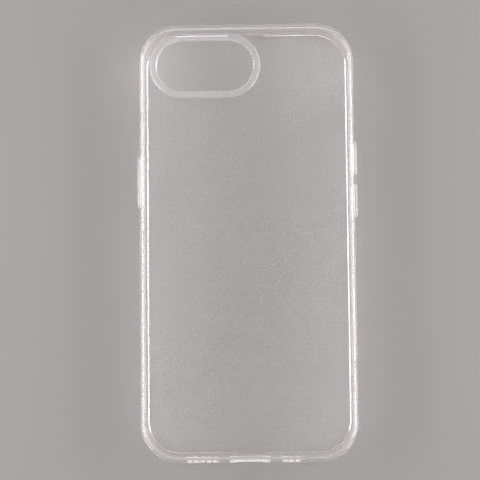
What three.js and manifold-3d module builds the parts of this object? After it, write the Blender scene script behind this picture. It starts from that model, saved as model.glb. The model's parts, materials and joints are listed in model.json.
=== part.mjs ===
// A clear, flexible phone case, lying with its open screen side down and its back up.
// Millimetres. +Z points up through the back, +Y to the camera end, +X to the volume-key side.
// The origin is under the middle of the case, in the plane that the front lip rests on.

import * as THREE from 'three';
import { mergeVertices } from 'three/addons/utils/BufferGeometryUtils.js';
import Module from 'manifold-3d';

const wasm = await Module();
wasm.setup();

// ---------------------------------------------------------------- driving dimensions

const phone = { length: 146.7, width: 71.5, thickness: 7.8, corner: 12 };
const phoneFit = 0.05; // room between the phone and the case, on every side

const sideWall = 0.85; // along the two long sides
const endWall = 1.2; // across the two short ends
const backThickness = 1.1;
const outerCorner = 13;
const backEdgeRadius = 2;
const frontEdgeRadius = 0.5;

const lip = { height: 0.9, overhang: 1.4, edgeChamfer: 0.45 };
const lipNotch = { width: 12.8, depth: 0.4, relief: 0.3 }; // at the phone's earpiece

// Places on the back and along the sides are counted from the phone's own top and left edges.
const camera = { fromTop: 13.4, fromLeft: 21.7, length: 33, width: 17.3 };
const guardRing = { width: 2.5, height: 1, outerRound: 0.8, innerChamfer: 0.3 };

const key = { height: 3.4, corner: 1.2, proud: 0.95, round: 0.4, clearance: 0.1 };
const keyPocket = { margin: 0.55, depth: 0.45 }; // takes the phone's own key
const powerKey = { fromTop: 52.8, length: 17.8 };
const volumeUpKey = { fromTop: 45.4, length: 11.6 };
const volumeDownKey = { fromTop: 59.8, length: 11.6 };

// The thin web that a key hangs in closes a window in the wall, at the floor of a shallow scoop.
const web = { margin: 0.9, thickness: 0.35, corner: 1.9 };
const scoop = { alongWall: 1.6, upWall: 0.9 };

const actionCutout = { fromTop: 30.2, length: 8.5, height: 6.4, corner: 2.6 };
const actionFlare = { alongWall: 2.3, upWall: 0.9, depth: 0.6 };
const connectorSlot = { length: 13.7, height: 5.8, corner: 2.7 };
const connectorFlare = { alongWall: 0.5, upWall: 0.5, depth: 0.5 };

const speakerHole = { diameter: 1.7, pitch: 2.2 };
const speakerTray = { height: 3, depth: 0.5, endMargin: 0.75 };
const leftSpeaker = { centre: -16, count: 5 };
const rightSpeaker = { centre: 14, count: 3 };

// How finely curves are divided
const cornerSteps = 8;
const filletSteps = 4;
const holeSides = 16;

// ---------------------------------------------------------------- sizes that follow

const cavity = {
  halfX: phone.width / 2 + phoneFit,
  halfY: phone.length / 2 + phoneFit,
  corner: phone.corner + phoneFit,
};
const outer = { halfX: cavity.halfX + sideWall, halfY: cavity.halfY + endWall };
const panelBottom = lip.height + phone.thickness + 2 * phoneFit;
const backTop = panelBottom + backThickness;
const midThickness = (lip.height + panelBottom) / 2;
const past = 2; // how far a cutting solid runs past the faces that it cuts

const leftWall = { outward: [-1, 0, 0], reach: outer.halfX, thickness: sideWall };
const rightWall = { outward: [1, 0, 0], reach: outer.halfX, thickness: sideWall };
const bottomWall = { outward: [0, -1, 0], reach: outer.halfY, thickness: endWall };

// ---------------------------------------------------------------- outlines

function arcPoints(x, y, radius, startAngle, steps, sweep) {
  const arc = new THREE.EllipseCurve(x, y, radius, radius, startAngle, startAngle + sweep);
  return arc.getPoints(steps);
}

// Counter-clockwise outline of a rectangle with round corners, about its own centre
function roundedRectangle(halfX, halfY, corner) {
  const quarter = Math.PI / 2;
  const signs = [[1, 1], [-1, 1], [-1, -1], [1, -1]];
  return signs.flatMap(([signX, signY], i) => {
    const x = signX * (halfX - corner);
    const y = signY * (halfY - corner);
    return arcPoints(x, y, corner, i * quarter, cornerSteps, quarter);
  });
}

// Counter-clockwise outline of the camera opening, which has half-round ends, `grow` larger
// all round
function cameraOutline(grow) {
  const reach = (camera.length - camera.width) / 2;
  const radius = camera.width / 2 + grow;
  const x = camera.fromLeft - phone.width / 2;
  const y = fromPhoneTop(camera.fromTop);
  return [
    ...arcPoints(x + reach, y, radius, -Math.PI / 2, 2 * cornerSteps, Math.PI),
    ...arcPoints(x - reach, y, radius, Math.PI / 2, 2 * cornerSteps, Math.PI),
  ];
}

function keyOutline(length, grow) {
  return roundedRectangle(length / 2 + grow, key.height / 2 + grow, key.corner + grow);
}

function fromPhoneTop(distance) {
  return phone.length / 2 - distance;
}

// ---------------------------------------------------------------- solids

// A closed solid through a stack of outlines with equal numbers of points, from the lowest up
function loft(sections) {
  const count = sections[0].points.length;
  const positions = sections.flatMap(({ points, level }) => points.flatMap((p) => [p.x, p.y, level]));
  const index = [];
  for (let row = 0; row + 1 < sections.length; row += 1) {
    for (let i = 0; i < count; i += 1) {
      const a = row * count + i;
      const b = row * count + (i + 1) % count;
      index.push(a, b, b + count, a, b + count, a + count);
    }
  }
  const lastRow = (sections.length - 1) * count;
  for (const [a, b, c] of THREE.ShapeUtils.triangulateShape(sections[0].points, [])) {
    index.push(a, c, b);
    index.push(lastRow + a, lastRow + b, lastRow + c);
  }
  const geometry = new THREE.BufferGeometry();
  geometry.setAttribute('position', new THREE.Float32BufferAttribute(positions, 3));
  geometry.setIndex(index);
  return geometry;
}

// A straight-sided solid whose upper edge is rounded over; outlineAt(inset) gives its outline
function roundedSlab(outlineAt, bottom, top, round) {
  const sections = [{ points: outlineAt(0), level: bottom }];
  for (let i = 0; i <= filletSteps; i += 1) {
    const turn = (i / filletSteps) * (Math.PI / 2);
    sections.push({
      points: outlineAt(round * (1 - Math.cos(turn))),
      level: top - round * (1 - Math.sin(turn)),
    });
  }
  return loft(sections);
}

// A cutting solid that is straight up to `shoulder`, and widens from there to `face`
function flaredCutter(narrow, wide, start, shoulder, face) {
  return loft([
    { points: narrow, level: start },
    { points: narrow, level: shoulder },
    { points: wide, level: face },
    { points: wide, level: face + past },
  ]);
}

function toSolid(geometry) {
  const bare = new THREE.BufferGeometry();
  bare.setAttribute('position', geometry.getAttribute('position'));
  bare.setIndex(geometry.getIndex());
  const merged = mergeVertices(bare);
  const vertProperties = new Float32Array(merged.getAttribute('position').array);
  const triVerts = new Uint32Array(merged.getIndex().array);
  return new wasm.Manifold(new wasm.Mesh({ numProp: 3, vertProperties, triVerts }));
}

function cutAway(geometry, cutters) {
  const whole = toSolid(geometry);
  const { vertProperties, triVerts } = cutters
    .reduce((rest, cutter) => rest.subtract(toSolid(cutter)), whole)
    .getMesh();
  const result = new THREE.BufferGeometry();
  result.setAttribute('position', new THREE.Float32BufferAttribute(vertProperties, 3));
  result.setIndex(Array.from(triVerts));
  return result;
}

// Stands a shape up on a wall: its X runs along the wall, its Y up the case, and its Z straight
// out of the wall, with level 0 on the wall's outer face at mid-height.
function onWall(geometry, wall, along) {
  const up = new THREE.Vector3(0, 0, 1);
  const outward = new THREE.Vector3(...wall.outward);
  const tangent = new THREE.Vector3().crossVectors(up, outward);
  const forward = new THREE.Vector3(Math.abs(tangent.x), Math.abs(tangent.y), 0);
  const origin = outward.clone().multiplyScalar(wall.reach);
  origin.addScaledVector(forward, along);
  origin.z = midThickness;
  const turn = new THREE.Matrix4().makeBasis(tangent, up, outward);
  return geometry.applyMatrix4(turn.setPosition(origin));
}

// ---------------------------------------------------------------- cuts in the walls

// The window that holds the keys of one wall, and the scoop round it
function keyWindow(wall, keys) {
  const ends = keys.flatMap(({ fromTop, length }) => [fromTop - length / 2, fromTop + length / 2]);
  const first = Math.min(...ends) - web.margin;
  const last = Math.max(...ends) + web.margin;
  return {
    wall,
    keys,
    along: fromPhoneTop((first + last) / 2),
    halfLength: (last - first) / 2,
    halfHeight: key.height / 2 + web.margin,
    webFace: web.thickness - wall.thickness,
  };
}

const powerWindow = keyWindow(leftWall, [powerKey]);
const volumeWindow = keyWindow(rightWall, [volumeUpKey, volumeDownKey]);

function windowOutline({ halfLength, halfHeight }) {
  return roundedRectangle(halfLength, halfHeight, web.corner);
}

function windowCutter(window) {
  const wide = roundedRectangle(
    window.halfLength + scoop.alongWall,
    window.halfHeight + scoop.upWall,
    web.corner + scoop.upWall,
  );
  const start = -window.wall.thickness - past;
  const cutter = flaredCutter(windowOutline(window), wide, start, window.webFace, 0);
  return onWall(cutter, window.wall, window.along);
}

function openingCutter(wall, along, opening, flare) {
  const halfLength = opening.length / 2;
  const halfHeight = opening.height / 2;
  const narrow = roundedRectangle(halfLength, halfHeight, opening.corner);
  const wide = roundedRectangle(
    halfLength + flare.alongWall,
    halfHeight + flare.upWall,
    opening.corner + flare.upWall,
  );
  return onWall(flaredCutter(narrow, wide, -wall.thickness - past, -flare.depth, 0), wall, along);
}

// A row of round holes at the floor of a shallow tray in the bottom wall
function speakerCutters({ centre, count }) {
  const rowLength = (count - 1) * speakerHole.pitch;
  const halfTray = rowLength / 2 + speakerHole.diameter / 2 + speakerTray.endMargin;
  const outline = roundedRectangle(halfTray, speakerTray.height / 2, speakerTray.height / 2 - 0.01);
  const tray = loft([{ points: outline, level: -speakerTray.depth }, { points: outline, level: past }]);
  const cutters = [onWall(tray, bottomWall, centre)];
  for (let i = 0; i < count; i += 1) {
    const radius = speakerHole.diameter / 2;
    const hole = new THREE.CylinderGeometry(radius, radius, 2 * (endWall + past), holeSides);
    hole.translate(centre - rowLength / 2 + i * speakerHole.pitch, -outer.halfY, midThickness);
    cutters.push(hole);
  }
  return cutters;
}

function wallCutters() {
  return [
    windowCutter(powerWindow),
    windowCutter(volumeWindow),
    openingCutter(rightWall, fromPhoneTop(actionCutout.fromTop), actionCutout, actionFlare),
    openingCutter(bottomWall, 0, connectorSlot, connectorFlare),
    ...speakerCutters(leftSpeaker),
    ...speakerCutters(rightSpeaker),
  ];
}

// ---------------------------------------------------------------- the shell

// How far the outside has rounded inwards, at a height above the plane of the lip
function edgeInset(level) {
  const intoBack = Math.max(0, level - (backTop - backEdgeRadius));
  const intoFront = Math.max(0, frontEdgeRadius - level);
  const backInset = backEdgeRadius - Math.sqrt(backEdgeRadius ** 2 - intoBack ** 2);
  const frontInset = frontEdgeRadius - Math.sqrt(frontEdgeRadius ** 2 - intoFront ** 2);
  return backInset + frontInset;
}

// The heights at which the rounded outside changes direction
function edgeLevels() {
  const levels = [];
  for (let i = 0; i <= filletSteps; i += 1) {
    const turn = (i / filletSteps) * (Math.PI / 2);
    levels.push(frontEdgeRadius * (1 - Math.cos(turn)));
    levels.push(backTop - backEdgeRadius * (1 - Math.sin(turn)));
  }
  return levels;
}

// A slice of the case's outer shape, filled right across
function outerSlice(bottom, top) {
  const between = edgeLevels().filter((level) => level > bottom && level < top);
  const levels = [bottom, ...between.sort((a, b) => a - b), top];
  return loft(levels.map((level) => {
    const inset = edgeInset(level);
    return {
      points: roundedRectangle(outer.halfX - inset, outer.halfY - inset, outerCorner - inset),
      level,
    };
  }));
}

function cavityOutline(inset) {
  return roundedRectangle(cavity.halfX - inset, cavity.halfY - inset, cavity.corner - inset);
}

function sideWallGeometry() {
  const hollow = loft([
    { points: cavityOutline(0), level: lip.height - past },
    { points: cavityOutline(0), level: panelBottom + past },
  ]);
  return cutAway(outerSlice(lip.height, panelBottom), [hollow, ...wallCutters()]);
}

function frontLipGeometry() {
  const wide = cavityOutline(lip.overhang - lip.edgeChamfer);
  const narrow = cavityOutline(lip.overhang);
  const mouth = loft([
    { points: wide, level: -past },
    { points: wide, level: 0 },
    { points: narrow, level: lip.edgeChamfer },
    { points: narrow, level: lip.height + past },
  ]);
  const notchEnd = cavity.halfY - lip.overhang + lipNotch.depth;
  const notch = new THREE.BoxGeometry(lipNotch.width, notchEnd, 2 * (lip.height + past));
  notch.translate(0, notchEnd / 2, 0);
  const reliefEnd = outer.halfY + past;
  const relief = new THREE.BoxGeometry(lipNotch.width, reliefEnd, 2 * lipNotch.relief);
  relief.translate(0, reliefEnd / 2, 0);
  return cutAway(outerSlice(0, lip.height), [mouth, notch, relief]);
}

function backPanelGeometry() {
  const opening = loft([
    { points: cameraOutline(0), level: panelBottom - past },
    { points: cameraOutline(0), level: backTop + past },
  ]);
  return cutAway(outerSlice(panelBottom, backTop), [opening, ...wallCutters()]);
}

function guardRingGeometry() {
  const top = backTop + guardRing.height;
  const outlineAt = (inset) => cameraOutline(guardRing.width - inset);
  const body = roundedSlab(outlineAt, backTop, top, guardRing.outerRound);
  const narrow = cameraOutline(0);
  const wide = cameraOutline(guardRing.innerChamfer);
  const shoulder = top - guardRing.innerChamfer;
  return cutAway(body, [flaredCutter(narrow, wide, backTop - past, shoulder, top)]);
}

// ---------------------------------------------------------------- keys and their webs

function keyGeometry(wall, { fromTop, length }) {
  const outlineAt = (inset) => keyOutline(length, -inset);
  const cap = roundedSlab(outlineAt, -wall.thickness, key.proud, key.round);
  const pocket = loft([
    { points: outlineAt(keyPocket.margin), level: -wall.thickness - past },
    { points: outlineAt(keyPocket.margin), level: keyPocket.depth - wall.thickness },
  ]);
  return onWall(cutAway(cap, [pocket]), wall, fromPhoneTop(fromTop));
}

function webGeometry(window) {
  const { wall, along, webFace, keys } = window;
  const outline = windowOutline(window);
  const sheet = loft([
    { points: outline, level: -wall.thickness },
    { points: outline, level: webFace },
  ]);
  const holes = keys.map(({ fromTop, length }) => {
    const points = keyOutline(length, key.clearance);
    const hole = loft([
      { points, level: -wall.thickness - past },
      { points, level: webFace + past },
    ]);
    return onWall(hole, wall, fromPhoneTop(fromTop));
  });
  return cutAway(onWall(sheet, wall, along), holes);
}

// ---------------------------------------------------------------- materials

function clearPlastic(roughness, opacity) {
  return new THREE.MeshStandardMaterial({
    color: 0xf1ebee,
    roughness,
    metalness: 0,
    transparent: true,
    opacity,
  });
}

const gloss = () => clearPlastic(0.08, 0.35);
const microDotted = () => clearPlastic(0.3, 0.3);
const satin = () => clearPlastic(0.2, 0.45);

// ---------------------------------------------------------------- the case

const phoneCase = new THREE.Group();

function addPiece(name, geometry, material) {
  const piece = new THREE.Mesh(geometry, material);
  piece.name = name;
  phoneCase.add(piece);
}

addPiece('back_panel', backPanelGeometry(), microDotted());
addPiece('side_wall', sideWallGeometry(), gloss());
addPiece('front_lip', frontLipGeometry(), gloss());
addPiece('camera_guard_ring', guardRingGeometry(), gloss());
addPiece('power_key', keyGeometry(leftWall, powerKey), satin());
addPiece('power_key_web', webGeometry(powerWindow), gloss());
addPiece('volume_up_key', keyGeometry(rightWall, volumeUpKey), satin());
addPiece('volume_down_key', keyGeometry(rightWall, volumeDownKey), satin());
addPiece('volume_key_web', webGeometry(volumeWindow), gloss());

export default phoneCase;
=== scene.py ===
import json
import math

import bmesh
import bpy
import numpy as np
from mathutils import Matrix, Vector


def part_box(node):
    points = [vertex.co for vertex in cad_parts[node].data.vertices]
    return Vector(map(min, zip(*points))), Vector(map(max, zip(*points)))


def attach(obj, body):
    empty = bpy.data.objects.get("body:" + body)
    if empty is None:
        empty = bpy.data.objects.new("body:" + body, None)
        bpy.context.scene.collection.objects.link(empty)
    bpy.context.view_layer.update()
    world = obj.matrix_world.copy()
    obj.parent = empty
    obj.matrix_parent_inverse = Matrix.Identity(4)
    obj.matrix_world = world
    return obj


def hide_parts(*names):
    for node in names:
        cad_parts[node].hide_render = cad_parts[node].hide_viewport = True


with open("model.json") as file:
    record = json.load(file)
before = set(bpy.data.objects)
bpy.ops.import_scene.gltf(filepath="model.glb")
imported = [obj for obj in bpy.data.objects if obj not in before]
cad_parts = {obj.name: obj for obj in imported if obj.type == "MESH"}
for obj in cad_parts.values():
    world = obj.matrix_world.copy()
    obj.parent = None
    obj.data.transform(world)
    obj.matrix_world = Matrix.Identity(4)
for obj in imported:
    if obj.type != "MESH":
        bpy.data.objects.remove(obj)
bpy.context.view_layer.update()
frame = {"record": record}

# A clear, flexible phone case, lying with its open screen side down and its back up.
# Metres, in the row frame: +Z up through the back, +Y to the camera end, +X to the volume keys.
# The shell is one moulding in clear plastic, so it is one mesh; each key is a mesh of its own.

MM = 0.001

# ------------------------------------------------------------------ sizes that the frame gives

WALL_LOW, WALL_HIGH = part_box("side_wall")
PANEL_LOW, PANEL_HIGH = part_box("back_panel")
RING_LOW, RING_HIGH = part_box("camera_guard_ring")
OPENINGS = {o["name"]: o["box_m"] for o in frame["record"]["physics"]["openings"]}

OUTER_X = WALL_HIGH.x
OUTER_Y = WALL_HIGH.y
LIP_TOP = WALL_LOW.z
PANEL_BOTTOM = PANEL_LOW.z
BACK_TOP = PANEL_HIGH.z
MID_HEIGHT = (LIP_TOP + PANEL_BOTTOM) / 2
KEY_LOW, KEY_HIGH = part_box("power_key")  # it stands on the wall at -X
KEY_PROUD = -KEY_LOW.x - OUTER_X
CAVITY_X = -KEY_HIGH.x
SIDE_WALL = OUTER_X - CAVITY_X
WEB_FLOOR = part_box("volume_key_web")[1].x - OUTER_X  # level, so below the wall's outer face

# ------------------------------------------------------------------ sizes of the moulding

END_WALL = 1.2 * MM
OUTER_CORNER = 13 * MM
CAVITY_CORNER = 12.05 * MM
BACK_EDGE_RADIUS = 2 * MM
FRONT_EDGE_RADIUS = 0.5 * MM
INNER_BACK_RADIUS = 1.1 * MM
LIP_OVERHANG = 1.4 * MM
LIP_TOP_ROUND = 0.25 * MM
LIP_BEVEL = {"across": 0.54 * MM, "up": 0.4 * MM}
LIP_ROOT_ROUND = 0.2 * MM
CAVITY_Y = OUTER_Y - END_WALL

CAMERA_WIDTH = 17.3 * MM
RING_WIDTH = 2.5 * MM
CAMERA_CENTRE = (RING_LOW + RING_HIGH) / 2
CAMERA_REACH = (RING_HIGH.x - RING_LOW.x) / 2 - RING_WIDTH - CAMERA_WIDTH / 2
RING_OUTER = {"across": 1.1 * MM, "down": 0.85 * MM}
RING_INNER = {"across": 0.7 * MM, "down": 0.6 * MM}
CUT_EDGE_ROUND = 0.22 * MM
CUT_EDGE_BEVEL = {"across": 0.34 * MM, "in": 0.3 * MM}
CAMERA_EDGE_BEVEL = {"across": 0.55 * MM, "in": 0.46 * MM}
BEVEL_CROWN = 0.08  # share of the bevel's width

KEY_CORNER = 1.2 * MM
KEY_ROUND = 0.45 * MM
KEY_INNER_ROUND = 0.12 * MM
KEY_CLEARANCE = 0.1 * MM
WINDOW_ROUND = 0.077 * MM  # outer edge of the window that a key hangs in
KEY_SUPPORT = {"floor": 0.18 * MM, "top": 0.3 * MM}
KEY_POCKET = {"margin": 0.55 * MM, "depth": 0.45 * MM}
KEYS = {"power_key": "power", "volume_up_key": "volume_up", "volume_down_key": "volume_down"}
WEB_CORNER = 1.9 * MM
SCOOP = {"along": 1.6 * MM, "up": 0.9 * MM}

ACTION = {"length": 8.5 * MM, "height": 6.4 * MM, "corner": 2.6 * MM}
ACTION_FLARE = {"along": 2.3 * MM, "up": 0.9 * MM, "depth": 0.6 * MM}
CONNECTOR = {"length": 13.7 * MM, "height": 5.8 * MM, "corner": 2.7 * MM}
CONNECTOR_FLARE = {"along": 0.5 * MM, "up": 0.5 * MM, "depth": 0.5 * MM}

HOLE_RADIUS = 0.85 * MM
HOLE_PITCH = 2.2 * MM
HOLE_EDGE_BEVEL = 0.28 * MM
TRAY = {"height": 3 * MM, "depth": 0.5 * MM, "end_margin": 0.75 * MM}
TRAY_ROUNDNESS = 0.98  # of its half-round ends; 1 would leave points that fall together
SPEAKER_ROWS = [(-16 * MM, 5), (14 * MM, 3)]  # middle along the wall, number of holes
NOTCH = {"width": 12.8 * MM, "depth": 0.4 * MM, "relief": 0.3 * MM, "corner": 0.3 * MM}
NOTCH_ROUND = {"across": 0.25 * MM, "up": 0.1 * MM}
DOT = {"pitch": 0.8 * MM, "width": 0.26 * MM, "height": 0.085 * MM, "gap": 0.002 * MM}
DOT_MARGIN = {"walls": 0.3 * MM, "camera": 0.6 * MM}

PAST = 2 * MM  # how far a cutting solid runs past the faces that it cuts
SUPPORT = 0.4 * MM  # from a rounded edge to the extra outline that keeps the flat beside it flat
WIDE_SUPPORT = 5 * MM  # to the second one, which frames the middle of the flat
TOUCH = 0.01 * MM  # how near a plane a face's middle may lie and still count as on it
OFF_WALL = 0.05 * MM  # a face this near to a wall's own faces isn't in a cut
LEVEL_FACE = 0.999  # least share of a level face's normal that points up or down
CUT_FACE = 0.8  # most that a cut's face may look along the cut
CORNER_STEPS = 20
CUTTER_STEPS = 10
ROUND_STEPS = 8
HOLE_SIDES = 32
SHARP_ANGLE = 32  # degrees
LEFT, RIGHT, BOTTOM = (-1, 0, 0), (1, 0, 0), (0, -1, 0)

# ------------------------------------------------------------------ plastic

PANEL_TINT = (0.985, 0.975, 0.98)
WALL_TINT = (0.985, 0.97, 0.978)
KEY_TINT = (0.98, 0.965, 0.972)
# Panel, walls and keys: the plastic's own haze. Ring and bores: painted highlight, plastic made whiter
# where the camera ring, speaker holes and connector slot rims catch light.
MILKINESS_AND_PAINTED_HIGHLIGHT = {"panel": 0.006, "walls": 0.09, "ring": 0.2, "bores": 0.7, "keys": 0.16, "dots": 0.0}
ROUGHNESS = {"moulding": 0.03, "keys": 0.08, "dots": 0.04}
REFRACTIVE_INDEX = 1.5
HAZE = {"scale": 90, "detail": 3, "darkest": 0.985}
RIPPLE = 0.006 * MM
RIPPLE_SCALE = 140
SHADOW_EDGE = 0.35
PASSED_FACE_ON = (0.96, 0.955, 0.958)  # share of a lamp's light that comes through
PASSED_EDGE_ON = (0.45, 0.44, 0.445)

# ------------------------------------------------------------------ stage and camera

FLOOR_HALF = 1.5
FLOOR_GAP = 0.02 * MM
FLOOR_TONE = (0.34, 0.337, 0.333)
FLOOR_GRAIN = {"scale": 30, "darkest": 0.99, "roughness": 0.7}
SKY_TONE = (0.95, 0.97, 1.0)
SKY_STRENGTH = 0.3
WARM = (1.0, 0.965, 0.955)

# How far out and how high a lamp's middle is, the height that it faces, its size and its radiance
SIDE_LAMPS = {
    "side_softbox": {"out": 0.6, "up": 0.9, "aim": 0, "size": (0.9, 0.5), "brightness": 1.15},
    "side_panel": {"out": 0.5, "up": 0.07, "aim": 0.07, "size": (1.1, 0.14), "brightness": 2.5},
    "side_strip": {"out": 0.42, "up": 0.17, "aim": 0, "size": (0.5, 0.08), "brightness": 12},
}
END_PANEL = {"out": 0.5, "up": 0.09, "size": (0.5, 0.18)}
END_BRIGHTNESS = {1: 1.2, -1: 0.5}  # past the camera end, past the connector end

# The viewpoint: a place in metres, turns about X, Y and Z, and a lens in millimetres
VIEW_PLACE = (0.0029, -0.0206, 0.3551)
VIEW_TILT = math.radians(3.44)
VIEW_LEAN = math.radians(0.91)
VIEW_ROLL = math.radians(-0.62)
VIEW_LENS = 76.7
VIEW_NEAREST = 0.01


# ------------------------------------------------------------------ outlines

def arc(x, y, radius, start, sweep, steps):
    angles = start + sweep * np.arange(steps + 1) / steps
    return np.stack([x + radius * np.cos(angles), y + radius * np.sin(angles)], axis=1)


def rounded_rectangle(half_x, half_y, corner, steps=CUTTER_STEPS):
    """Counter-clockwise outline about its own centre."""
    quarter = math.pi / 2
    parts = []
    for i, (sx, sy) in enumerate([(1, 1), (-1, 1), (-1, -1), (1, -1)]):
        x, y = sx * (half_x - corner), sy * (half_y - corner)
        parts.append(arc(x, y, corner, i * quarter, quarter, steps))
    return np.concatenate(parts)


def outer_outline(inset):
    return rounded_rectangle(OUTER_X - inset, OUTER_Y - inset, OUTER_CORNER - inset, CORNER_STEPS)


def cavity_outline(inset):
    return rounded_rectangle(CAVITY_X - inset, CAVITY_Y - inset, CAVITY_CORNER - inset, CORNER_STEPS)


def camera_outline(inset):
    """The camera opening's outline, a bar with half-round ends."""
    centre, reach = CAMERA_CENTRE, CAMERA_REACH
    radius = CAMERA_WIDTH / 2 - inset
    right = arc(centre.x + reach, centre.y, radius, -math.pi / 2, math.pi, 2 * CORNER_STEPS)
    left = arc(centre.x - reach, centre.y, radius, math.pi / 2, math.pi, 2 * CORNER_STEPS)
    return np.concatenate([right, left])


# ------------------------------------------------------------------ meshes

def bend(start, end, first):
    """(inset, level) points on a quarter ellipse that leaves start along the axis `first`."""
    turns = [(i / ROUND_STEPS) * math.pi / 2 for i in range(ROUND_STEPS + 1)]
    shares = [(math.sin(t), 1 - math.cos(t)) for t in turns]
    if first == "level":
        shares = [(b, a) for a, b in shares]
    return [(start[0] + (end[0] - start[0]) * a, start[1] + (end[1] - start[1]) * b) for a, b in shares]


def bevel(start, end):
    """(inset, level) points on a nearly flat slope that leaves start a little flatter than it
    meets end. Seen through the plastic, it mirrors the light that comes in from the side."""
    crown = BEVEL_CROWN * (end[0] - start[0])
    middle = ((start[0] + end[0]) / 2 + crown, (start[1] + end[1]) / 2)
    return [start, middle, end]


def loft(name, outline_at, profile, place=None):
    """A closed mesh through outline_at(inset) at each (inset, level) of the profile."""
    mesh = bmesh.new()
    rings = [
        [mesh.verts.new((x, y, level)) for x, y in outline_at(inset)]
        for inset, level in profile
    ]
    count = len(rings[0])
    for low, high in zip(rings, rings[1:]):
        for i in range(count):
            j = (i + 1) % count
            mesh.faces.new((low[i], low[j], high[j], high[i]))
    mesh.faces.new(rings[0])
    mesh.faces.new(rings[-1])
    if place is not None:
        bmesh.ops.transform(mesh, matrix=place, verts=mesh.verts)
    bmesh.ops.recalc_face_normals(mesh, faces=mesh.faces)
    data = bpy.data.meshes.new(name)
    mesh.to_mesh(data)
    mesh.free()
    obj = bpy.data.objects.new(name, data)
    bpy.context.scene.collection.objects.link(obj)
    return obj


def apply_modifiers(obj):
    evaluated = obj.evaluated_get(bpy.context.evaluated_depsgraph_get())
    baked = bpy.data.meshes.new_from_object(evaluated)
    obj.modifiers.clear()
    obj.data = baked


def combine(obj, others, operation):
    """Joins the other solids to obj or cuts them from it, one by one, and removes them."""
    for other in others:
        step = obj.modifiers.new(other.name, "BOOLEAN")
        step.operation = operation
        step.solver = "MANIFOLD"
        step.object = other
    apply_modifiers(obj)
    for other in others:
        bpy.data.objects.remove(other)


def finish_piece(obj, material, body):
    """Gives a piece its material and the body that it rides on."""
    obj.data.materials.clear()
    obj.data.materials.append(material)
    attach(obj, body)


def paint_regions(shell, regions):
    """Gives the faces that pass a region's test that region's material. The last test wins."""
    for index, (belongs, material) in enumerate(regions, start=1):
        shell.data.materials.append(material)
        for polygon in shell.data.polygons:
            if belongs(polygon):
                polygon.material_index = index


def is_flat_back(polygon):
    on_panel = PANEL_BOTTOM - TOUCH < polygon.center.z < BACK_TOP + TOUCH
    return on_panel and abs(polygon.normal.z) > LEVEL_FACE


def is_ring(polygon):
    return polygon.center.z > BACK_TOP + TOUCH


def is_slot_rim(polygon):
    """Whether a face is on the inner or the outer rim of the connector slot."""
    outer_rim = polygon.center.y < -OUTER_Y + CONNECTOR_FLARE["depth"]
    inner_rim = polygon.center.y > -CAVITY_Y - CUT_EDGE_BEVEL["in"]
    in_reach = abs(polygon.center.x) < CONNECTOR["length"] / 2
    return faces_bottom_cut(polygon) and in_reach and (outer_rim or inner_rim)


def is_bore(polygon):
    """Whether a face lines a speaker hole, a speaker tray or an end of the connector slot."""
    slot_end = CONNECTOR["length"] / 2 - CONNECTOR["corner"]
    return faces_bottom_cut(polygon) and abs(polygon.center.x) > slot_end


def faces_bottom_cut(polygon):
    """Whether a face lines one of the openings in the bottom wall."""
    in_wall = -OUTER_Y + OFF_WALL < polygon.center.y < -CAVITY_Y - OFF_WALL
    at_cuts = abs(polygon.center.z - MID_HEIGHT) < CONNECTOR["height"] / 2 + CONNECTOR_FLARE["up"]
    off_corners = abs(polygon.center.x) < OUTER_X - OUTER_CORNER
    return in_wall and at_cuts and off_corners and abs(polygon.normal.y) < CUT_FACE


def smooth(obj):
    """Smooth shading that breaks at real edges and leaves the flat faces flat."""
    for polygon in obj.data.polygons:
        polygon.use_smooth = True
    obj.data.set_sharp_from_angle(angle=math.radians(SHARP_ANGLE))
    weighted = obj.modifiers.new("face_weighted_normals", "WEIGHTED_NORMAL")
    weighted.keep_sharp = True
    apply_modifiers(obj)


def wall_place(outward, along):
    """Stands a flat-drawn shape on a wall: X along the wall, Y up, Z straight out of the wall,
    with level 0 on the wall's outer face at mid-height."""
    up = Vector((0, 0, 1))
    out = Vector(outward)
    tangent = up.cross(out)
    reach = OUTER_X if abs(out.x) > 0.5 else OUTER_Y
    origin = out * reach + Vector((abs(tangent.x), abs(tangent.y), 0)) * along
    origin.z = MID_HEIGHT
    return Matrix.Translation(origin) @ Matrix((tangent, up, out)).transposed().to_4x4()


# ------------------------------------------------------------------ cuts in the walls

def opening_outline(size, flare):
    """Outline of a wall opening as a function of inset. At 0 it is the opening itself, and at -1
    it has taken on the whole flare."""
    def outline_at(inset):
        along, up = -inset * flare["along"], -inset * flare["up"]
        half_x, half_y = size["length"] / 2 + along, size["height"] / 2 + up
        return rounded_rectangle(half_x, half_y, size["corner"] + up)
    return outline_at


def scooped(depth):
    """A soft dish that runs from a floor at -depth out to the wall's outer face."""
    parts = [i / ROUND_STEPS for i in range(ROUND_STEPS + 1)]
    return [(-part, -depth * (1 - part * part * (3 - 2 * part))) for part in parts]


def through_cutter(name, size, flare, wall, outer_edge, place):
    """An opening right through a wall, with a bevelled inner edge. outer_edge is the profile of
    its outer edge."""
    inner = CUT_EDGE_BEVEL["across"] / flare["up"]
    profile = [(-inner, -wall - PAST)]
    profile += bevel((-inner, -wall), (0, -wall + CUT_EDGE_BEVEL["in"]))
    profile += outer_edge
    profile.append((-1, PAST))
    return loft(name, opening_outline(size, flare), profile, place)


def action_cutter():
    low, high = OPENINGS["action_cutout_tall"]
    outer_edge = scooped(ACTION_FLARE["depth"])
    place = wall_place(RIGHT, (low[1] + high[1]) / 2)
    return through_cutter("action_cutter", ACTION, ACTION_FLARE, SIDE_WALL, outer_edge, place)


def connector_cutter():
    low, high = OPENINGS["connector_slot_wide"]
    outer_edge = bend((0, -CONNECTOR_FLARE["depth"]), (-1, 0), "level")
    place = wall_place(BOTTOM, (low[0] + high[0]) / 2)
    flare, wall = CONNECTOR_FLARE, END_WALL
    return through_cutter("connector_cutter", CONNECTOR, flare, wall, outer_edge, place)


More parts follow.
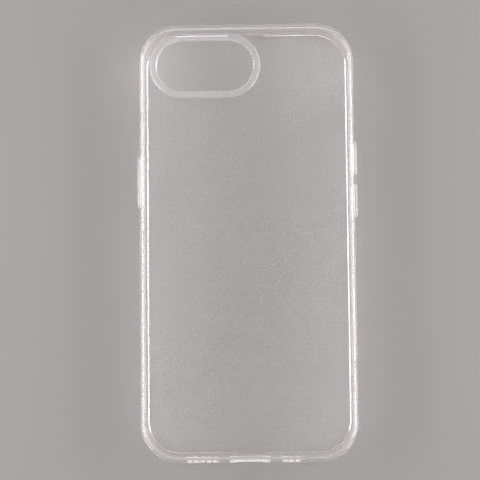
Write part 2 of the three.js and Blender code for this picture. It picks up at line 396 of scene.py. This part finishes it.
def tray_cutter(centre, count):
    """The shallow tray that a row of speaker holes opens into."""
    half_x = (count - 1) * HOLE_PITCH / 2 + HOLE_RADIUS + TRAY["end_margin"]
    half_y = TRAY["height"] / 2
    corner = TRAY_ROUNDNESS * half_y
    profile = [(0, -TRAY["depth"])]
    profile += bend((0, -CUT_EDGE_ROUND), (-CUT_EDGE_ROUND, 0), "level")
    profile.append((-CUT_EDGE_ROUND, PAST))

    def outline_at(inset):
        return rounded_rectangle(half_x - inset, half_y - inset, corner - inset)
    return loft("tray_cutter", outline_at, profile, wall_place(BOTTOM, centre))


def hole_cutter(along):
    """A round hole through the bottom wall, bevelled inside and rounded at the tray's floor."""
    floor, edge = -TRAY["depth"], HOLE_EDGE_BEVEL
    profile = [(-edge, -END_WALL - PAST)]
    profile += bevel((-edge, -END_WALL), (0, edge - END_WALL))
    profile += bend((0, floor - edge), (-edge, floor), "level")
    profile.append((-edge, PAST))

    def outline_at(inset):
        return arc(0, 0, HOLE_RADIUS - inset, 0, 2 * math.pi, HOLE_SIDES)[:-1]
    return loft("hole_cutter", outline_at, profile, wall_place(BOTTOM, along))


def speaker_cutters():
    cutters = []
    for centre, count in SPEAKER_ROWS:
        cutters.append(tray_cutter(centre, count))
        first = centre - (count - 1) * HOLE_PITCH / 2
        cutters += [hole_cutter(first + i * HOLE_PITCH) for i in range(count)]
    return cutters


def scoop_cutter(web_node, outward):
    """The dish round the keys of one wall. Its floor leaves the thin web that they hang in."""
    low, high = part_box(web_node)
    size = {"length": high.y - low.y, "height": high.z - low.z, "corner": WEB_CORNER}
    profile = scooped(-WEB_FLOOR) + [(-1, PAST)]
    place = wall_place(outward, (low.y + high.y) / 2)
    return loft("scoop_cutter", opening_outline(size, SCOOP), profile, place)


def key_outline(node, grow):
    low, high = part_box(node)
    half_x, half_y = (high.y - low.y) / 2 + grow, (high.z - low.z) / 2 + grow
    return rounded_rectangle(half_x, half_y, KEY_CORNER + grow)


def key_place(node):
    low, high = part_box(node)
    return wall_place(LEFT if low.x < 0 else RIGHT, (low.y + high.y) / 2)


def key_hole_cutter(node):
    edge = WINDOW_ROUND
    profile = [(0, -SIDE_WALL - PAST)]
    profile += bend((0, WEB_FLOOR - edge), (-edge, WEB_FLOOR), "level")
    profile.append((-edge, PAST))
    return loft(
        "key_hole_cutter",
        lambda inset: key_outline(node, KEY_CLEARANCE - inset),
        profile,
        key_place(node),
    )


def notch_cutters():
    """The recess in the lip over the earpiece, and the relief under it."""
    half = NOTCH["width"] / 2
    lip_edge = CAVITY_Y - LIP_OVERHANG
    recess_end = lip_edge + NOTCH["depth"]
    corner = NOTCH["corner"]

    def recess(inset):
        return rounded_rectangle(half - inset, recess_end - inset, corner)

    def relief(inset):
        return rounded_rectangle(half - inset, OUTER_Y + PAST, corner)
    relief_profile = [
        (0, -PAST),
        (0, NOTCH["relief"] - NOTCH_ROUND["up"]),
        (NOTCH_ROUND["across"], NOTCH["relief"]),
    ]
    return [
        loft("notch_cutter", recess, [(0, -PAST), (0, LIP_TOP + NOTCH_ROUND["up"])]),
        loft("relief_cutter", relief, relief_profile),
    ]


# ------------------------------------------------------------------ the shell

def cup_outline(step):
    """Outline for a step of the shell's profile: the skin's outside, or its hollow side."""
    side, inset = step
    if side == "outside":
        return outer_outline(inset)
    return cavity_outline(inset)


def cup():
    """The case with no openings: outside, front lip, hollow and back in one closed skin."""
    top, round_back, round_front = BACK_TOP, BACK_EDGE_RADIUS, FRONT_EDGE_RADIUS
    outside = [(round_back + support, top) for support in (WIDE_SUPPORT, SUPPORT)]
    outside += bend((round_back, top), (0, top - round_back), "inset")
    outside += bend((0, round_front), (round_front, 0), "level")
    over, edge, root, inner = LIP_OVERHANG, LIP_TOP_ROUND, LIP_ROOT_ROUND, INNER_BACK_RADIUS
    hollow = bevel((over - LIP_BEVEL["across"], 0), (over, LIP_BEVEL["up"]))
    hollow += bend((over, LIP_TOP - edge), (over - edge, LIP_TOP), "level")
    hollow += bend((root, LIP_TOP), (0, LIP_TOP + root), "inset")
    hollow += bend((0, PANEL_BOTTOM - inner), (inner, PANEL_BOTTOM), "level")
    hollow += [(inner + support, PANEL_BOTTOM) for support in (SUPPORT, WIDE_SUPPORT)]
    profile = [(("outside", inset), level) for inset, level in outside]
    profile += [(("hollow", inset), level) for inset, level in hollow]
    return loft("clear_shell", cup_outline, profile)


def guard_ring():
    """The raised rim of the camera opening, still filled in the middle."""
    top = RING_HIGH.z
    side_end = (-RING_WIDTH, top - RING_OUTER["down"])
    top_start = (RING_OUTER["across"] - RING_WIDTH, top)
    profile = [(-RING_WIDTH, BACK_TOP - SUPPORT), (-RING_WIDTH, BACK_TOP)]
    profile += bend(side_end, top_start, "level")
    return loft("guard_ring_body", camera_outline, profile)


def camera_cutter():
    top, low, edge = RING_HIGH.z, PANEL_BOTTOM, CAMERA_EDGE_BEVEL
    profile = [(-edge["across"], low - PAST)]
    profile += bevel((-edge["across"], low), (0, low + edge["in"]))
    profile += bend((0, top - RING_INNER["down"]), (-RING_INNER["across"], top), "level")
    profile.append((-RING_INNER["across"], top + PAST))
    return loft("camera_cutter", camera_outline, profile)


def build_shell():
    shell = cup()
    combine(shell, [guard_ring()], "UNION")
    cutters = [camera_cutter(), action_cutter(), connector_cutter()]
    cutters += [scoop_cutter("power_key_web", LEFT), scoop_cutter("volume_key_web", RIGHT)]
    cutters += [key_hole_cutter(node) for node in KEYS]
    cutters += speaker_cutters() + notch_cutters()
    combine(shell, cutters, "DIFFERENCE")
    smooth(shell)
    return shell


# ------------------------------------------------------------------ keys

def build_key(node):
    """A key's cap: rounded outside, with a pocket inside for the phone's own key."""
    inner, floor, margin = -SIDE_WALL, KEY_POCKET["depth"] - SIDE_WALL, KEY_POCKET["margin"]
    fine = KEY_INNER_ROUND
    profile = [(margin + fine + KEY_SUPPORT["floor"], floor)]
    profile += bend((margin + fine, floor), (margin, floor - fine), "inset")
    profile += bend((margin, inner + fine), (margin - fine, inner), "level")
    profile += bend((fine, inner), (0, inner + fine), "inset")
    profile += bend((0, KEY_PROUD - KEY_ROUND), (KEY_ROUND, KEY_PROUD), "level")
    profile.append((KEY_ROUND + KEY_SUPPORT["top"], KEY_PROUD))
    key = loft(node + "_cap", lambda inset: key_outline(node, -inset), profile, key_place(node))
    smooth(key)
    return key


# ------------------------------------------------------------------ micro-dots

def inside_panel(x, y):
    """Whether points lie on the flat inside of the back, clear of the camera opening."""
    margin = INNER_BACK_RADIUS + DOT_MARGIN["walls"]
    half_x, half_y, corner = CAVITY_X - margin, CAVITY_Y - margin, CAVITY_CORNER - margin
    over_x = np.maximum(np.abs(x) - (half_x - corner), 0)
    over_y = np.maximum(np.abs(y) - (half_y - corner), 0)
    within = np.hypot(over_x, over_y) <= corner
    centre, reach = CAMERA_CENTRE, CAMERA_REACH
    beyond = np.maximum(np.abs(x - centre.x) - reach, 0)
    camera_edge = CAMERA_WIDTH / 2 + DOT_MARGIN["camera"]
    return within & (np.hypot(beyond, y - centre.y) > camera_edge)


def build_dots():
    """Tiny moulded points in a diagonal grid all over the inside of the back."""
    columns = np.arange(-CAVITY_X, CAVITY_X, DOT["pitch"])
    rows = np.arange(-CAVITY_Y, CAVITY_Y, DOT["pitch"])
    grid_x, grid_y = np.meshgrid(columns, rows)
    half = DOT["pitch"] / 2
    x = np.concatenate([grid_x.ravel(), grid_x.ravel() + half])
    y = np.concatenate([grid_y.ravel(), grid_y.ravel() + half])
    kept = inside_panel(x, y)
    x, y = x[kept], y[kept]
    base, tip = PANEL_BOTTOM - DOT["gap"], PANEL_BOTTOM - DOT["height"]
    side = DOT["width"] / 2
    corners = [(side, 0, base), (0, side, base), (-side, 0, base), (0, -side, base), (0, 0, tip)]
    points = np.stack([
        np.stack([x + dx, y + dy, np.full_like(x, z)], axis=1) for dx, dy, z in corners
    ], axis=1).reshape(-1, 3)
    flanks = np.array([(1, 0, 4), (2, 1, 4), (3, 2, 4), (0, 3, 4)])
    first = 5 * np.arange(len(x))[:, None, None]
    faces = (flanks[None] + first).reshape(-1, 3).tolist()
    faces += (np.array([[[0, 1, 2, 3]]]) + first).reshape(-1, 4).tolist()
    data = bpy.data.meshes.new("back_panel_micro_dots")
    data.from_pydata(points.tolist(), [], faces)
    data.update()
    dots = bpy.data.objects.new("back_panel_micro_dots", data)
    bpy.context.scene.collection.objects.link(dots)
    return dots


# ------------------------------------------------------------------ materials

def new_material(name):
    material = bpy.data.materials.new(name)
    material.use_nodes = True
    nodes, links = material.node_tree.nodes, material.node_tree.links
    return material, nodes, links, nodes["Principled BSDF"], nodes["Material Output"]


def clear_plastic(name, tint, roughness, body, ripple):
    """Clear soft plastic. body is how much of it is milky: the plastic's own haze, and on the camera
    ring and in the bores a painted highlight of whiter plastic. ripple is the height of the fine
    waviness that moulding leaves.
    Lamps reach what lies behind it, a little weakened."""
    material, nodes, links, shader, output = new_material(name)
    shader.inputs["Roughness"].default_value = roughness
    shader.inputs["IOR"].default_value = REFRACTIVE_INDEX
    shader.inputs["Transmission Weight"].default_value = 1 - body
    place = nodes.new("ShaderNodeTexCoord")
    haze = nodes.new("ShaderNodeTexNoise")
    haze.inputs["Scale"].default_value = HAZE["scale"]
    haze.inputs["Detail"].default_value = HAZE["detail"]
    links.new(place.outputs["Object"], haze.inputs["Vector"])
    tints = nodes.new("ShaderNodeMix")
    tints.data_type = "RGBA"
    tints.inputs["A"].default_value = (*tint, 1)
    tints.inputs["B"].default_value = (*(HAZE["darkest"] * c for c in tint), 1)
    links.new(haze.outputs["Fac"], tints.inputs["Factor"])
    links.new(tints.outputs["Result"], shader.inputs["Base Color"])
    waves = nodes.new("ShaderNodeTexNoise")
    waves.inputs["Scale"].default_value = RIPPLE_SCALE
    links.new(place.outputs["Object"], waves.inputs["Vector"])
    bump = nodes.new("ShaderNodeBump")
    bump.inputs["Distance"].default_value = ripple
    links.new(waves.outputs["Fac"], bump.inputs["Height"])
    links.new(bump.outputs["Normal"], shader.inputs["Normal"])
    path = nodes.new("ShaderNodeLightPath")
    edge = nodes.new("ShaderNodeLayerWeight")
    edge.inputs["Blend"].default_value = SHADOW_EDGE
    passed = nodes.new("ShaderNodeMix")
    passed.data_type = "RGBA"
    passed.inputs["A"].default_value = (*PASSED_FACE_ON, 1)
    passed.inputs["B"].default_value = (*PASSED_EDGE_ON, 1)
    links.new(edge.outputs["Facing"], passed.inputs["Factor"])
    through = nodes.new("ShaderNodeBsdfTransparent")
    links.new(passed.outputs["Result"], through.inputs["Color"])
    mix = nodes.new("ShaderNodeMixShader")
    links.new(path.outputs["Is Shadow Ray"], mix.inputs["Fac"])
    links.new(shader.outputs["BSDF"], mix.inputs[1])
    links.new(through.outputs["BSDF"], mix.inputs[2])
    links.new(mix.outputs["Shader"], output.inputs["Surface"])
    return material


def floor_material():
    material, nodes, links, shader, _ = new_material("pale_floor")
    shader.inputs["Roughness"].default_value = FLOOR_GRAIN["roughness"]
    grain = nodes.new("ShaderNodeTexNoise")
    grain.inputs["Scale"].default_value = FLOOR_GRAIN["scale"]
    tones = nodes.new("ShaderNodeMix")
    tones.data_type = "RGBA"
    tones.inputs["A"].default_value = (*FLOOR_TONE, 1)
    tones.inputs["B"].default_value = (*(FLOOR_GRAIN["darkest"] * c for c in FLOOR_TONE), 1)
    links.new(grain.outputs["Fac"], tones.inputs["Factor"])
    links.new(tones.outputs["Result"], shader.inputs["Base Color"])
    return material


# ------------------------------------------------------------------ stage, lights and camera

def build_floor():
    data = bpy.data.meshes.new("floor")
    half = FLOOR_HALF
    corners = [(-half, -half, 0), (half, -half, 0), (half, half, 0), (-half, half, 0)]
    data.from_pydata(corners, [], [(0, 1, 2, 3)])
    data.materials.append(floor_material())
    floor = bpy.data.objects.new("floor", data)
    floor.location.z = -FLOOR_GAP
    bpy.context.scene.collection.objects.link(floor)


def aim(obj, target):
    obj.rotation_euler = (Vector(target) - obj.location).to_track_quat("-Z", "Y").to_euler()


def softbox(name, place, target, size, brightness):
    """A rectangular lamp at `place` that faces `target`. size is (width, height), and
    brightness is its radiance, so a bigger box of the same brightness gives more light."""
    lamp = bpy.data.lights.new(name, "AREA")
    lamp.shape = "RECTANGLE"
    lamp.size, lamp.size_y = size
    lamp.energy = brightness * math.pi * size[0] * size[1]
    lamp.color = WARM
    obj = bpy.data.objects.new(name, lamp)
    obj.location = place
    aim(obj, target)
    bpy.context.scene.collection.objects.link(obj)


def light_scene():
    """Big softboxes high on the sides, where the flat back doesn't mirror them to the camera, a
    panel standing low on each side that lights up the walls, a short bright strip over it for the
    fine lines along the rounded edges, and a dim panel past each end."""
    for side in (-1, 1):
        for name, lamp in SIDE_LAMPS.items():
            place, target = (side * lamp["out"], 0, lamp["up"]), (0, 0, lamp["aim"])
            softbox(name, place, target, lamp["size"], lamp["brightness"])
    for end, brightness in END_BRIGHTNESS.items():
        place, target = (0, end * END_PANEL["out"], END_PANEL["up"]), (0, 0, END_PANEL["up"])
        softbox("end_panel", place, target, END_PANEL["size"], brightness)
    world = bpy.data.worlds.new("studio")
    world.use_nodes = True
    background = world.node_tree.nodes["Background"]
    background.inputs["Color"].default_value = (*SKY_TONE, 1)
    background.inputs["Strength"].default_value = SKY_STRENGTH
    bpy.context.scene.world = world
    bpy.context.scene.view_settings.view_transform = "Standard"


def add_camera():
    """Looks almost straight down, from nearer the case's bottom end than its middle."""
    tilt = Matrix.Rotation(VIEW_TILT, 3, "X")
    lean = Matrix.Rotation(VIEW_LEAN, 3, "Y")
    roll = Matrix.Rotation(VIEW_ROLL, 3, "Z")
    data = bpy.data.cameras.new("camera")
    data.lens = VIEW_LENS
    data.clip_start = VIEW_NEAREST
    camera = bpy.data.objects.new("camera", data)
    camera.matrix_world = Matrix.Translation(VIEW_PLACE) @ (tilt @ lean @ roll).to_4x4()
    bpy.context.scene.collection.objects.link(camera)
    bpy.context.scene.camera = camera


# ------------------------------------------------------------------ the case

moulding = ROUGHNESS["moulding"]
wall_plastic = clear_plastic(
    "thick_clear_plastic", WALL_TINT, moulding, MILKINESS_AND_PAINTED_HIGHLIGHT["walls"], RIPPLE)
panel_plastic = clear_plastic(
    "thin_clear_plastic", PANEL_TINT, moulding, MILKINESS_AND_PAINTED_HIGHLIGHT["panel"], RIPPLE)
# A milkier copy of the plastic on the camera ring: painted highlight.
ring_highlight_plastic = clear_plastic("rim_painted_highlight_plastic", WALL_TINT, moulding, MILKINESS_AND_PAINTED_HIGHLIGHT["ring"], RIPPLE)
# A much milkier copy for the linings and rims of the bottom wall's openings: painted highlight.
bore_highlight_plastic = clear_plastic("bore_painted_highlight_plastic", WALL_TINT, moulding, MILKINESS_AND_PAINTED_HIGHLIGHT["bores"], RIPPLE)
key_plastic = clear_plastic("key_plastic", KEY_TINT, ROUGHNESS["keys"], MILKINESS_AND_PAINTED_HIGHLIGHT["keys"], RIPPLE)
dot_plastic = clear_plastic("dot_plastic", PANEL_TINT, ROUGHNESS["dots"], MILKINESS_AND_PAINTED_HIGHLIGHT["dots"], 0.0)

shell = build_shell()
finish_piece(shell, wall_plastic, "shell")
# The flat back gets the thin haze. The ring and the bottom wall's openings get the milkier copies,
# painted highlight.
paint_regions(shell, [
    (is_flat_back, panel_plastic),
    (is_ring, ring_highlight_plastic),
    (is_slot_rim, bore_highlight_plastic),
    (is_bore, bore_highlight_plastic),
])
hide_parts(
    "back_panel", "side_wall", "front_lip", "camera_guard_ring",
    "power_key_web", "volume_key_web",
)
for node, body in KEYS.items():
    key = build_key(node)
    finish_piece(key, key_plastic, body)
    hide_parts(node)

finish_piece(build_dots(), dot_plastic, "shell")

build_floor()
light_scene()
add_camera()
